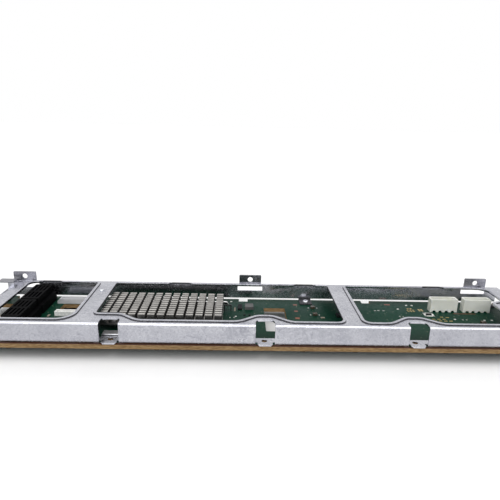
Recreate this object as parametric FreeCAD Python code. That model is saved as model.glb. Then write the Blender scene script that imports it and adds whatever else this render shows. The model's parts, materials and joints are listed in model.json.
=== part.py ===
import FreeCAD, Part
import math
import os

# Drive backplane board with its folded sheet frame. All lengths in millimetres.
# X runs along the board, Y from the front wall to the back wall, Z up.
# The origin is under the middle of the board, on the surface that the drive connectors rest on.
# Places along Y are given as distances behind the outer face of the front wall.

# Board
board_length = 430.0
board_depth = 84.8
board_thickness = 3.2
board_corner = 2.0
front_setback = 2.2
edge_notch_width = 7.5
edge_notch_depth = 5.4
edge_notch_centres = (-193.3, -101.0, -7.0, 98.0, 206.0)
air_hole_corner = 1.0

# Drive connectors under the board
drive_height = 8.5
drive_columns = 4
drive_rows = 3
drive_column_pitch = 106.0
drive_row_pitch = 27.0
drive_first_x = -156.5
drive_first_y = 16.0
drive_length = 43.0
drive_width = 6.4
drive_slot_length = 33.4
drive_slot_width = 2.6
drive_slot_depth = 6.0
drive_guide_length = 4.2
drive_guide_depth = 1.6
drive_key_width = 1.4
drive_contact_pitch = 1.27
drive_contact_width = 0.6
drive_contact_thickness = 0.35
signal_contacts = 7
power_contacts = 15

# Folded frame
sheet = 1.2
bend_radius = 1.6
frame_height = 14.9
frame_depth = 79.1
frame_left = -192.4
frame_right = 211.0
wall_gap = 0.5
back_wall_height = 11.6
end_wall_height = 6.0

# Openings in the top of the frame
opening_1_left = -184.0
opening_1_right = -127.0
opening_2_left = -114.2
opening_2_right = 64.0
opening_3_left = 76.6
opening_3_right = 188.5
front_rim = 4.8
back_rim = 5.8
rim_at_notch = 15.8
bump_flat = 11.6
bump_run = 13.0
bump_radius = 9.0
opening_corner = 2.5
corner_1_front_right = 14.0
corner_3_back_right = 9.0
lip_width = 1.7
lip_drop = 0.8
step_back_width = 14.0
step_back_chamfer = 2.5
step_back_centres = (-163.5, -58.5, 45.6, 154.5)

# Screwdriver notches in the front fold, each with a foot
notch_width = 13.5
notch_reach = 8.6
notch_corner = 3.2
notch_centres = (-101.7, 7.8, 116.3)
foot_reach = 8.0
foot_wing = 3.5
foot_front = 2.2
foot_tongue_width = 10.6
foot_relief_length = 2.4
foot_corner = 1.6
foot_hole = 4.0
foot_hole_y = 3.9
foot_hole_centres = (-99.9, 7.3, 114.2)

# Feet of the back wall and their screws
back_foot_width = 10.2
back_foot_reach = 7.2
back_foot_centres = (-129.5, 45.6, 201.0)
screw_head = 4.8
screw_head_height = 1.5
screw_shank = 2.5
screw_recess = 1.3

# Upright ears with the windows that they are cut from
ear_width = 18.4
ear_height = 8.3
ear_corner = 1.0
ear_hole = 4.8
ear_hole_height = 4.1
ear_centres = (-189.5, -1.5, 190.5)
window_width = 23.0
window_drop = 5.6
window_corner = 2.0

# Side flange with its hook at the left end
flange_drop = 2.2
flange_width = 6.0
flange_front = 3.0
hook_y = 68.0
hook_height = 5.6
hook_lip_reach = 9.0
hook_lip_depth = 7.0

# Stud on the first cross bar
stud_x = -120.8
stud_y = 60.5
stud_diameter = 3.4
stud_height = 0.7
stud_shank = 2.0

# Heatsink, its chip and its clip
pin_columns = 13
pin_rows = 11
pin_pitch_x = 6.98
pin_pitch_y = 3.98
pin_width = 6.1
pin_depth = 2.6
heatsink_left = -112.8
heatsink_front = 21.2
heatsink_base = 2.2
heatsink_top_gap = 2.6
chip_size = 35.0
chip_height = 2.0
chip_ball_height = 0.5
chip_body = 26.0
pad_thickness = 0.5
clip_wire = 1.0
clip_row = 9
clip_overhang = 3.2
clip_height_above_base = 3.0
anchor_width = 3.0
anchor_thickness = 0.8

# Cable connectors at the left end
cable_x = -179.6
cable_width = 13.4
cable_length = 30.4
cable_front = 14.5
cable_spacing = 1.8
cable_top_gap = 2.1
cable_shoulder_width = 3.0
cable_shoulder_height = 7.0
cable_corner = 1.2
cable_slot_columns = 4
cable_slot_rows = 2
cable_slot_width = 1.5
cable_slot_length = 11.4
cable_slot_depth = 7.0
cable_slot_pitch_x = 2.9
cable_slot_pitch_y = 14.0
cable_blade_thickness = 0.5
cable_blade_inset = 1.2

# Power headers at the right end
power_circuits = 4
power_pitch = 5.08
power_wall = 1.0
power_depth = 7.2
power_height = 10.9
power_front = 60.8
power_floor = 3.4
power_chamfer = 1.6
power_arch = 1.5
power_centres = (157.9, 185.4)
power_pin = 2.0
power_pin_gap = 1.4

# White header and grey header by the first opening
white_left = -153.0
white_length = 22.0
white_front = 42.6
white_depth = 5.2
white_height = 3.6
white_wall = 0.8
white_circuits = 8
white_pin = 0.5
grey_left = -159.5
grey_length = 24.0
grey_front = 67.0
grey_depth = 5.0
grey_height = 4.2
grey_chamfer = 2.0
grey_circuits = 8
grey_pin = 0.6
header_pin_gap = 0.8

# Air holes through the board: left, right, front, back
air_holes = (
    (-209.0, -185.0, 38.0, 65.0),
    (-154.0, -128.0, 49.5, 66.0),
    (9.6, 26.9, 21.6, 63.8),
)

# Worked out from the sizes above
board_top = drive_height + board_thickness
plate_top = board_top + frame_height
wall_y = front_setback - board_depth / 2
foot_top = board_top + sheet
back_y = frame_depth - sheet
heatsink_bottom = chip_ball_height + chip_height + pad_thickness
heatsink_height = frame_height - heatsink_top_gap - heatsink_bottom
heatsink_length = (pin_columns - 1) * pin_pitch_x + pin_width
heatsink_depth = (pin_rows - 1) * pin_pitch_y + pin_depth
cable_height = frame_height - cable_top_gap
power_length = power_circuits * power_pitch + 2 * power_wall


def vector(x, y, z):
    """A point, with y measured back from the front wall and z up from the rest surface."""
    return FreeCAD.Vector(x, wall_y + y, z)


def flat(z):
    return lambda u, v: vector(u, v, z)


def upright(y):
    return lambda u, v: vector(u, y, v)


def crosswise(x):
    return lambda u, v: vector(x, u, v)


def block(x0, x1, y0, y1, z0, z1):
    return Part.makeBox(x1 - x0, y1 - y0, z1 - z0, vector(x0, y0, z0))


def rod(x, y, z0, z1, diameter):
    return Part.makeCylinder(diameter / 2, z1 - z0, vector(x, y, z0))


def outline(corners, place):
    """A closed face from (u, v, radius) corners, rounded by tangent arcs."""
    tangents = []
    count = len(corners)
    for index in range(count):
        u0, v0 = corners[index - 1][:2]
        u1, v1, radius = corners[index]
        u2, v2 = corners[(index + 1) % count][:2]
        before = math.hypot(u0 - u1, v0 - v1)
        after = math.hypot(u2 - u1, v2 - v1)
        ax, ay = (u0 - u1) / before, (v0 - v1) / before
        bx, by = (u2 - u1) / after, (v2 - v1) / after
        half = math.acos(max(-1.0, min(1.0, ax * bx + ay * by))) / 2
        if radius == 0 or math.cos(half) < 1e-6:
            tangents.append(((u1, v1), None, (u1, v1)))
            continue
        reach = radius / math.tan(half)
        mx, my = ax + bx, ay + by
        middle = math.hypot(mx, my)
        to_arc = radius / math.sin(half) - radius
        tangents.append(((u1 + ax * reach, v1 + ay * reach),
                         (u1 + mx / middle * to_arc, v1 + my / middle * to_arc),
                         (u1 + bx * reach, v1 + by * reach)))
    edges = []
    for index in range(count):
        start, mid, end = tangents[index]
        following = tangents[(index + 1) % count][0]
        if mid is not None:
            edges.append(Part.Arc(place(*start), place(*mid), place(*end)).toShape())
        if math.hypot(following[0] - end[0], following[1] - end[1]) > 1e-6:
            edges.append(Part.LineSegment(place(*end), place(*following)).toShape())
    return Part.Face(Part.Wire(edges))


def plate(corners, z0, z1):
    return outline(corners, flat(z0)).extrude(FreeCAD.Vector(0, 0, z1 - z0))


def wall(corners, y0, y1):
    return outline(corners, upright(y0)).extrude(FreeCAD.Vector(0, y1 - y0, 0))


def section(corners, x0, x1):
    return outline(corners, crosswise(x0)).extrude(FreeCAD.Vector(x1 - x0, 0, 0))


def rectangle(x0, x1, y0, y1, radius):
    return [(x0, y0, radius), (x1, y0, radius), (x1, y1, radius), (x0, y1, radius)]


def fuse(shapes):
    joined = shapes[0].multiFuse(shapes[1:]) if len(shapes) > 1 else shapes[0]
    return joined.removeSplitter()


def group(shapes):
    return Part.makeCompound(shapes)


# Folded frame

def front_edge(left, right):
    """The front edge of an opening, from left to right, stepped back behind each notch."""
    points = []
    for centre in notch_centres:
        bump = (centre - bump_flat / 2 - bump_run, centre - bump_flat / 2,
                centre + bump_flat / 2, centre + bump_flat / 2 + bump_run)
        if bump[2] < left or bump[1] > right:
            continue
        if bump[0] > left:
            points += [(bump[0], front_rim, bump_radius), (bump[1], rim_at_notch, bump_radius)]
        points += [(bump[2], rim_at_notch, bump_radius), (bump[3], front_rim, bump_radius)]
    return points


def back_edge(left, right):
    """The back edge of an opening, from right to left, stepped back to the wall over each column."""
    near = frame_depth - back_rim
    far = back_y
    points = []
    for centre in reversed(step_back_centres):
        if left < centre < right:
            half = step_back_width / 2
            points += [(centre + half + step_back_chamfer, near, 0), (centre + half, far, 0),
                       (centre - half, far, 0), (centre - half - step_back_chamfer, near, 0)]
    return points


def opening_outlines():
    near = frame_depth - back_rim
    first = [(opening_1_left, front_rim, opening_corner),
             (opening_1_right, front_rim, corner_1_front_right),
             (opening_1_right, near, opening_corner)]
    first += back_edge(opening_1_left, opening_1_right)
    first += [(opening_1_left, near, opening_corner * 2)]
    second = [(opening_2_left, rim_at_notch, opening_corner)]
    second += front_edge(opening_2_left, opening_2_right)
    second += [(opening_2_right, front_rim, opening_corner * 2), (opening_2_right, near, opening_corner)]
    second += back_edge(opening_2_left, opening_2_right)
    second += [(opening_2_left, near, opening_corner)]
    third = [(opening_3_left, front_rim, opening_corner * 2)]
    third += front_edge(opening_3_left, opening_3_right)
    third += [(opening_3_right, front_rim, opening_corner * 2),
              (opening_3_right, near, corner_3_back_right)]
    third += back_edge(opening_3_left, opening_3_right)
    third += [(opening_3_left, near, opening_corner)]
    return first, second, third


def folded_channel():
    """Top plate with its front wall and back wall, as one bent section."""
    inner = bend_radius - sheet
    front_bottom = board_top + wall_gap
    back_bottom = plate_top - back_wall_height
    profile = [(0, front_bottom, 0), (0, plate_top, bend_radius),
               (frame_depth, plate_top, bend_radius), (frame_depth, back_bottom, 0),
               (back_y, back_bottom, 0), (back_y, plate_top - sheet, inner),
               (sheet, plate_top - sheet, inner), (sheet, front_bottom, 0)]
    return section(profile, frame_left, frame_right)


def opening_lip(corners):
    """The lip round an opening, pressed down below the plate."""
    edge = outline(corners, flat(plate_top - lip_drop - sheet))
    rise = FreeCAD.Vector(0, 0, sheet)
    shelf = edge.makeOffset2D(lip_width + lip_drop).extrude(rise)
    room = block(frame_left, frame_right, sheet, back_y,
                 plate_top - lip_drop - sheet, plate_top - sheet + lip_drop)
    return shelf.common(room)


def opening_cuts(corners):
    low = plate_top - lip_drop - sheet
    through = outline(corners, flat(low)).extrude(FreeCAD.Vector(0, 0, 2 * sheet + lip_drop))
    pocket = outline(corners, flat(plate_top - lip_drop)).makeOffset2D(lip_width)
    pocket = pocket.extrude(FreeCAD.Vector(0, 0, sheet))
    keep_off = block(frame_left, frame_right, sheet, back_y, plate_top - sheet, plate_top + sheet)
    return through, pocket.common(keep_off)


def notch_cut(centre):
    """A notch through the front fold: a slot in the wall that runs on into the plate."""
    left, right = centre - notch_width / 2, centre + notch_width / 2
    top = plate(rectangle(left, right, -notch_reach, notch_reach, notch_corner),
                plate_top - sheet, plate_top)
    slot = block(left, right, 0, sheet + bend_radius, board_top, plate_top)
    return [top, slot]


def front_foot(centre, hole_x):
    """A foot folded in from the wall on both sides of a notch, with a tongue to the front."""
    half = notch_width / 2
    half_tongue = foot_tongue_width / 2
    wing = half + foot_wing
    corners = [(centre - wing, 0, 0), (centre - half, 0, 0),
               (centre - half, foot_relief_length, 0), (centre - half_tongue, foot_relief_length, 0),
               (centre - half_tongue, -foot_front, foot_corner),
               (centre + half_tongue, -foot_front, foot_corner),
               (centre + half_tongue, foot_relief_length, 0), (centre + half, foot_relief_length, 0),
               (centre + half, 0, 0), (centre + wing, 0, 0),
               (centre + wing, foot_reach, foot_corner), (centre - wing, foot_reach, foot_corner)]
    foot = plate(corners, board_top, foot_top)
    return foot.cut(rod(hole_x, foot_hole_y, board_top - sheet, foot_top + sheet, foot_hole))


def back_foot(centre):
    """A leg of the back wall that turns in under it and takes a screw."""
    half = back_foot_width / 2
    leg = block(centre - half, centre + half, back_y, frame_depth,
                board_top, plate_top - back_wall_height + sheet)
    toe = plate([(centre - half, frame_depth, 0), (centre - half, frame_depth - back_foot_reach, foot_corner),
                 (centre + half, frame_depth - back_foot_reach, foot_corner), (centre + half, frame_depth, 0)],
                board_top, foot_top)
    y = back_screw_y()
    return fuse([leg, toe]).cut(rod(centre, y, board_top - sheet, foot_top + sheet, screw_shank))


def back_screw_y():
    return frame_depth - sheet - (back_foot_reach - sheet) / 2


def ear(centre):
    half = ear_width / 2
    blank = wall([(centre - half, plate_top - sheet, 0), (centre + half, plate_top - sheet, 0),
                  (centre + half, plate_top + ear_height, ear_corner),
                  (centre - half, plate_top + ear_height, ear_corner)], back_y, frame_depth)
    hole = Part.makeCylinder(ear_hole / 2, 3 * sheet, vector(centre, back_y - sheet, plate_top + ear_hole_height),
                             FreeCAD.Vector(0, 1, 0))
    return blank.cut(hole)


def window_cuts(centre):
    """The window left in the back wall where an ear was cut and turned up."""
    half = window_width / 2
    half_ear = ear_width / 2
    bottom = plate_top - window_drop
    below = wall([(centre - half, bottom, window_corner), (centre + half, bottom, window_corner),
                  (centre + half, plate_top - sheet, 0), (centre - half, plate_top - sheet, 0)],
                 back_y - sheet, frame_depth + sheet)
    left_slit = block(centre - half, centre - half_ear, back_y, frame_depth, plate_top - 2 * sheet, plate_top)
    right_slit = block(centre + half_ear, centre + half, back_y, frame_depth, plate_top - 2 * sheet, plate_top)
    return [below, left_slit, right_slit]


def left_flange():
    """The stepped flange along the left end, with the hook at its back."""
    top = plate_top - flange_drop
    outer = frame_left - flange_width
    step = block(frame_left - sheet, frame_left, flange_front, frame_depth - sheet,
                 top - sheet, plate_top)
    shelf = plate([(outer, flange_front, foot_corner), (frame_left, flange_front, 0),
                   (frame_left, frame_depth, 0), (outer, frame_depth, 0)], top - sheet, top)
    corner = block(outer, frame_left, hook_y + sheet, frame_depth, plate_top - sheet, plate_top)
    hook = block(outer, frame_left, hook_y, hook_y + sheet, top - sheet, top + hook_height)
    lip_top = top + hook_height
    lip = plate(rectangle(outer - hook_lip_reach, frame_left - sheet, hook_y, hook_y + hook_lip_depth, 0),
                lip_top - sheet, lip_top)
    back = block(outer, frame_left, back_y, frame_depth, plate_top - back_wall_height, plate_top)
    return [step, shelf, corner, hook, lip, back]


def right_end():
    """The end wall, folded down at the right."""
    return block(frame_right - sheet, frame_right, bend_radius, back_y, plate_top - end_wall_height, plate_top)


def bracket_frame():
    body = fuse([folded_channel(), right_end()] + left_flange())
    cuts = []
    lips = []
    for corners in opening_outlines():
        through, pocket = opening_cuts(corners)
        lips.append(opening_lip(corners).cut(through))
        cuts += [through, pocket]
    for centre in notch_centres:
        cuts += notch_cut(centre)
    for centre in ear_centres:
        cuts += window_cuts(centre)
    body = body.cut(cuts)
    for centre in notch_centres:
        notch = notch_cut(centre)
        lips = [lip.cut(notch) for lip in lips]
    added = list(lips)
    added += [front_foot(centre, hole_x) for centre, hole_x in zip(notch_centres, foot_hole_centres)]
    added += [back_foot(centre) for centre in back_foot_centres]
    added += [ear(centre) for centre in ear_centres]
    body = fuse([body] + added)
    hole = rod(stud_x, stud_y, plate_top - 2 * sheet, plate_top + sheet, stud_shank)
    return body.cut(hole).removeSplitter()


def web_stud():
    """A riveted stud with a low domed head on the first cross bar."""
    head = rod(stud_x, stud_y, plate_top, plate_top + stud_height, stud_diameter)
    head = head.makeFillet(stud_height * 0.6, [edge for edge in head.Edges
                                              if edge.BoundBox.ZMin > plate_top + stud_height - 0.01])
    shank = rod(stud_x, stud_y, plate_top - sheet, plate_top, stud_shank)
    return fuse([head, shank])


def frame_screws():
    screws = []
    for centre in back_foot_centres:
        y = back_screw_y()
        head = rod(centre, y, foot_top, foot_top + screw_head_height, screw_head)
        head = head.makeChamfer(screw_head_height / 3, [edge for edge in head.Edges
                                if edge.BoundBox.ZMin > foot_top + screw_head_height - 0.01])
        shank = rod(centre, y, board_top - board_thickness, foot_top, screw_shank)
        recess = rod(centre, y, foot_top + screw_head_height / 2, foot_top + 2 * screw_head_height, screw_recess)
        screws.append(fuse([head, shank]).cut(recess))
    return group(screws)


# Board

def circuit_board():
    front = -front_setback
    back = front + board_depth
    half = board_length / 2
    board = plate(rectangle(-half, half, front, back, board_corner), drive_height, board_top)
    cuts = []
    for centre in edge_notch_centres:
        side = edge_notch_width / 2
        cuts.append(block(centre - side, centre + side, back - edge_notch_depth, back + 1,
                          drive_height - 1, board_top + 1))
    for left, right, near, far in air_holes:
        cuts.append(plate(rectangle(left, right, near, far, air_hole_corner), drive_height - 1, board_top + 1))
    for hole_x in foot_hole_centres:
        cuts.append(rod(hole_x, foot_hole_y, drive_height - 1, board_top + 1, foot_hole))
    for centre in back_foot_centres:
        cuts.append(rod(centre, back_screw_y(), drive_height - 1, board_top + 1, screw_shank))
    return board.cut(cuts)


# Heatsink group

def heatsink():
    bottom = board_top + heatsink_bottom
    base_top = bottom + heatsink_base
    pins = []
    for column in range(pin_columns):
        for row in range(pin_rows):
            x = heatsink_left + column * pin_pitch_x
            y = heatsink_front + row * pin_pitch_y
            pins.append(block(x, x + pin_width, y, y + pin_depth, base_top, bottom + heatsink_height))
    base = block(heatsink_left, heatsink_left + heatsink_length,
                 heatsink_front, heatsink_front + heatsink_depth, bottom, base_top)
    return base.multiFuse(pins).removeSplitter()


def chip_centre():
    return heatsink_left + heatsink_length / 2, heatsink_front + heatsink_depth / 2


def expander_chip():
    x, y = chip_centre()
    outer = chip_size / 2
    inner = chip_body / 2
    top = board_top + chip_ball_height + chip_height
    carrier = block(x - outer, x + outer, y - outer, y + outer,
                    board_top + chip_ball_height, top - chip_height / 2)
    cap = plate(rectangle(x - inner, x + inner, y - inner, y + inner, 1.0), top - chip_height / 2, top)
    balls = block(x - inner, x + inner, y - inner, y + inner, board_top, board_top + chip_ball_height)
    return fuse([balls, carrier, cap])


def thermal_pad():
    x, y = chip_centre()
    half = chip_body / 2
    bottom = board_top + chip_ball_height + chip_height
    return block(x - half, x + half, y - half, y + half, bottom, bottom + pad_thickness)


def clip_line():
    """Where the clip wire lies: between two rows of pins, above the base."""
    y = heatsink_front + clip_row * pin_pitch_y - (pin_pitch_y - pin_depth) / 2
    z = board_top + heatsink_bottom + heatsink_base + clip_height_above_base
    return y, z


def clip_ends():
    return heatsink_left - clip_overhang, heatsink_left + heatsink_length + clip_overhang


def heatsink_clip():
    """A spring wire laid between two rows of pins, turned down to a hook at each end."""
    y, z = clip_line()
    left, right = clip_ends()
    low = board_top + anchor_height() - clip_wire / 2
    turn = clip_wire * 1.5
    hook = anchor_width * 1.2
    path = []
    points = [(left, y - hook, low), (left, y, low), (left, y, z), (right, y, z), (right, y, low),
              (right, y + hook, low)]
    corners = [vector(*point) for point in points]
    last = corners[0]
    for index in range(1, len(corners) - 1):
        to_back = (corners[index - 1] - corners[index]).normalize()
        to_next = (corners[index + 1] - corners[index]).normalize()
        start = corners[index] + to_back * turn
        end = corners[index] + to_next * turn
        centre = start + to_next * turn
        middle = centre - (to_back + to_next).normalize() * turn
        path.append(Part.LineSegment(last, start).toShape())
        path.append(Part.Arc(start, middle, end).toShape())
        last = end
    path.append(Part.LineSegment(last, corners[-1]).toShape())
    spine = Part.Wire(path)
    ring = Part.Wire(Part.makeCircle(clip_wire / 2, corners[0], corners[1] - corners[0]))
    return spine.makePipeShell([ring], True, True)


def anchor_height():
    return 4.0


def clip_anchors():
    """Two bent loops soldered to the board, which the ends of the clip hook under."""
    y, _ = clip_line()
    anchors = []
    for end, side in zip(clip_ends(), (-1, 1)):
        centre = y + side * anchor_width * 0.75
        leg = anchor_thickness
        outer = anchor_height() + anchor_thickness
        loop = block(end - anchor_width, end + anchor_width, centre - 0.6, centre + 0.6,
                     board_top, board_top + outer)
        inside = block(end - anchor_width + leg, end + anchor_width - leg, centre - 1, centre + 1,
                       board_top - 1, board_top + anchor_height())
        anchors.append(loop.cut(inside))
    return group(anchors)


# Cable connectors

def cable_connector(index):
    front = cable_front + index * (cable_length + cable_spacing)
    back = front + cable_length
    left, right = cable_x, cable_x + cable_width
    top = board_top + cable_height
    body = plate(rectangle(left, right, front, back, cable_corner), board_top, top)
    shoulder = plate([(right - cable_corner, front, 0), (right + cable_shoulder_width, front, cable_corner),
                      (right + cable_shoulder_width, back, cable_corner), (right - cable_corner, back, 0)],
                     board_top, board_top + cable_shoulder_height)
    housing = fuse([body, shoulder])
    return housing.cut([slot for slot in cable_slots(index)])


def cable_slot_centres(index):
    middle_x = cable_x + cable_width / 2
    middle_y = cable_front + index * (cable_length + cable_spacing) + cable_length / 2
    for column in range(cable_slot_columns):
        for row in range(cable_slot_rows):
            yield (middle_x + (column - (cable_slot_columns - 1) / 2) * cable_slot_pitch_x,
                   middle_y + (row - (cable_slot_rows - 1) / 2) * cable_slot_pitch_y)


def cable_slots(index):
    top = board_top + cable_height
    half_x = cable_slot_width / 2
    half_y = cable_slot_length / 2
    return [block(x - half_x, x + half_x, y - half_y, y + half_y, top - cable_slot_depth, top + 1)
            for x, y in cable_slot_centres(index)]


def cable_blades(index):
    """The contact blades that stand in the slots of a cable connector."""
    floor = board_top + cable_height - cable_slot_depth
    half_x = cable_blade_thickness / 2
    half_y = cable_slot_length / 2 - cable_blade_inset
    top = floor + cable_slot_depth - cable_blade_inset
    return group([block(x - half_x, x + half_x, y - half_y, y + half_y, floor, top)
                  for x, y in cable_slot_centres(index)])


# Power headers

def power_header(centre):
    """A shrouded header with an open top, two cut corners and arches along its foot."""
    half = power_length / 2
    front, back = power_front, power_front + power_depth
    top = board_top + power_height
    shell = plate([(centre - half, front, 0), (centre + half, front, 0),
                   (centre + half, back, power_chamfer), (centre - half, back, power_chamfer)],
                  board_top, top)
    cavity = plate([(centre - half + power_wall, front + power_wall, 0.3),
                    (centre + half - power_wall, front + power_wall, 0.3),
                    (centre + half - power_wall, back - power_wall - power_chamfer, 0),
                    (centre + half - power_wall - power_chamfer, back - power_wall, 0),
                    (centre - half + power_wall + power_chamfer, back - power_wall, 0),
                    (centre - half + power_wall, back - power_wall - power_chamfer, 0)],
                   board_top + power_floor, top + 1)
    arches = [Part.makeCylinder(power_arch, power_depth + 2, vector(x, front - 1, board_top),
                                FreeCAD.Vector(0, 1, 0)) for x in power_pin_places(centre)]
    holes = [rod(x, front + power_depth / 2, board_top - 1, top, power_pin)
             for x in power_pin_places(centre)]
    return shell.cut([cavity] + arches + holes)


def power_pin_places(centre):
    return [centre + (index - (power_circuits - 1) / 2) * power_pitch for index in range(power_circuits)]


def power_pins(centre):
    top = board_top + power_height - power_pin_gap
    pins = []
    for x in power_pin_places(centre):
        pin = rod(x, power_front + power_depth / 2, board_top, top, power_pin)
        tip = [edge for edge in pin.Edges if edge.BoundBox.ZMin > top - 0.01]
        pins.append(pin.makeChamfer(power_pin / 4, tip))
    return group(pins)


# Small headers

def white_header():
    right = white_left + white_length
    back = white_front + white_depth
    top = board_top + white_height
    body = block(white_left, right, white_front, back, board_top, top)
    trough = block(white_left + white_wall, right - white_wall, white_front + white_wall, back - white_wall,
                   board_top + white_height / 3, top + 1)
    keys = [block(x - white_wall / 2, x + white_wall / 2, white_front - 1, white_front + white_wall / 2,
                  board_top + white_height / 3, top + 1)
            for x in spaced(white_left, white_length, white_circuits)]
    holes = [block(x - white_pin / 2, x + white_pin / 2, white_front + white_depth / 2 - white_pin / 2,
                   white_front + white_depth / 2 + white_pin / 2, board_top - 1, top)
             for x in spaced(white_left, white_length, white_circuits)]
    return body.cut([trough] + keys + holes)


def spaced(left, length, count):
    return [left + length * (index + 0.5) / count for index in range(count)]


def header_pins(left, length, count, middle_y, size, height):
    half = size / 2
    top = board_top + height - header_pin_gap
    return group([block(x - half, x + half, middle_y - half, middle_y + half, board_top, top)
                  for x in spaced(left, length, count)])


def grey_header():
    right = grey_left + grey_length
    back = grey_front + grey_depth
    top = board_top + grey_height
    body = wall([(grey_left, board_top, 0), (right, board_top, 0), (right, top, 0),
                 (grey_left + grey_chamfer, top, 0), (grey_left, top - grey_chamfer, 0)], grey_front, back)
    trough = block(grey_left + grey_chamfer + 1, right - 1, grey_front + 1, back - 1,
                   board_top + grey_height / 3, top + 1)
    half = grey_pin / 2
    middle = grey_front + grey_depth / 2
    holes = [block(x - half, x + half, middle - half, middle + half, board_top - 1, top)
             for x in spaced(grey_left + grey_chamfer, grey_length - grey_chamfer, grey_circuits)]
    return body.cut([trough] + holes)


# Drive connectors

def drive_place(column, row):
    return drive_first_x + column * drive_column_pitch, drive_first_y + row * drive_row_pitch


def drive_connector(column, row):
    """A drive socket that faces down: a slotted bar between two guide towers."""
    x, y = drive_place(column, row)
    half = drive_length / 2
    side = drive_width / 2
    bar = block(x - half, x + half, y - side * 0.8, y + side * 0.8, 0, drive_height)
    towers = [plate(rectangle(end - drive_guide_length, end, y - side, y + side, 1.0), 0, drive_height)
              for end in (x - half + drive_guide_length, x + half)]
    slot = block(x - drive_slot_length / 2, x + drive_slot_length / 2,
                 y - drive_slot_width / 2, y + drive_slot_width / 2, -1, drive_slot_depth)
    key_x = x + drive_key_offset()
    key = block(key_x - drive_key_width / 2, key_x + drive_key_width / 2,
                y - drive_slot_width / 2, y + drive_slot_width / 2, 0, drive_slot_depth)
    guides = [block(end - drive_guide_depth / 2, end + drive_guide_depth / 2, y - side * 0.6, y + side * 0.6,
                    -1, drive_slot_depth)
              for end in (x - half + drive_guide_length / 2, x + half - drive_guide_length / 2)]
    return fuse([bar] + towers).cut([slot.cut(key)] + guides)


def drive_key_offset():
    return drive_slot_length * (signal_contacts - power_contacts) / 2 / (signal_contacts + power_contacts + 2)


def drive_contacts():
    """Contact strips along the back wall of each slot, in a short row and a long row."""
    strips = []
    for column in range(drive_columns):
        for row in range(drive_rows):
            x, y = drive_place(column, row)
            wall_face = y + drive_slot_width / 2
            key_x = x + drive_key_offset()
            for index in range(signal_contacts):
                strips.append((key_x - drive_key_width - index * drive_contact_pitch, wall_face))
            for index in range(power_contacts):
                strips.append((key_x + drive_key_width + index * drive_contact_pitch, wall_face))
    half = drive_contact_width / 2
    return group([block(x - half, x + half, y - drive_contact_thickness, y, 1.0, drive_slot_depth)
                  for x, y in strips])


# Small parts on the board: name, then centre x, y, length x, length y, height of each copy

small_parts = {
    "power_chips": ((-9.8, 64.0, 3.4, 9.0, 1.4), (-22.0, 73.0, 3.4, 4.0, 1.4)),
    "driver_chips": ((-33.0, 11.5, 6.0, 4.9, 1.5), (69.5, 50.0, 5.0, 6.2, 1.5), (107.0, 33.0, 5.0, 6.2, 1.5)),
    "power_coils": ((-2.3, 63.2, 6.8, 6.8, 3.0), (203.0, 30.0, 6.8, 6.8, 3.0)),
    "clock_can": ((-100.5, 12.2, 14.0, 6.4, 2.3),),
    "bulk_capacitors": ((50.3, 65.1, 3.5, 2.8, 1.9), (50.2, 51.2, 3.5, 2.8, 1.9), (-202.0, 72.0, 3.5, 2.8, 1.9),
                        (181.0, 40.0, 3.5, 2.8, 1.9)),
    "sense_resistors": ((-14.0, 59.8, 1.2, 6.4, 0.6), (55.6, 46.1, 3.2, 1.6, 0.6), (-157.6, 43.0, 1.6, 3.2, 0.6)),
    "status_lamps": ((-17.2, 76.0, 1.6, 0.8, 0.6), (-13.1, 46.2, 1.6, 0.8, 0.6), (121.5, 65.2, 1.6, 0.8, 0.6),
                     (131.1, 73.1, 1.6, 0.8, 0.6), (135.8, 73.1, 1.6, 0.8, 0.6), (161.4, 46.4, 1.6, 0.8, 0.6),
                     (184.7, 45.3, 1.6, 0.8, 0.6), (190.8, 45.5, 1.6, 0.8, 0.6), (-150.0, 36.0, 1.6, 0.8, 0.6)),
}


def small_blocks(rows):
    solids = []
    for x, y, length, depth, height in rows:
        body = block(x - length / 2, x + length / 2, y - depth / 2, y + depth / 2, board_top, board_top + height)
        top_edges = [edge for edge in body.Edges if edge.BoundBox.ZMin > board_top + height - 0.01]
        solids.append(body.makeChamfer(height / 8, top_edges))
    return group(solids)


def all_parts():
    parts = {
        "bracket_frame": bracket_frame(),
        "web_stud": web_stud(),
        "frame_screws": frame_screws(),
        "circuit_board": circuit_board(),
        "heatsink": heatsink(),
        "expander_chip": expander_chip(),
        "thermal_pad": thermal_pad(),
        "heatsink_clip": heatsink_clip(),
        "clip_anchors": clip_anchors(),
        "cable_connector_front": cable_connector(0),
        "cable_connector_rear": cable_connector(1),
        "cable_blades_front": cable_blades(0),
        "cable_blades_rear": cable_blades(1),
        "power_header_left": power_header(power_centres[0]),
        "power_header_right": power_header(power_centres[1]),
        "power_pins_left": power_pins(power_centres[0]),
        "power_pins_right": power_pins(power_centres[1]),
        "white_header": white_header(),
        "white_header_pins": header_pins(white_left, white_length, white_circuits,
                                         white_front + white_depth / 2, white_pin, white_height),
        "grey_header": grey_header(),
        "grey_header_pins": header_pins(grey_left + grey_chamfer, grey_length - grey_chamfer, grey_circuits,
                                        grey_front + grey_depth / 2, grey_pin, grey_height),
        "drive_contacts": drive_contacts(),
    }
    for column in range(drive_columns):
        for row in range(drive_rows):
            parts["drive_socket_%d_%d" % (column + 1, row + 1)] = drive_connector(column, row)
    for name, rows in small_parts.items():
        parts[name] = small_blocks(rows)
    return parts


os.makedirs("parts", exist_ok=True)
for name, shape in all_parts().items():
    shape.exportStep("parts/%s.step" % name)
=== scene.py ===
import json
import math

import bpy
from mathutils import Matrix, Vector


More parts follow.
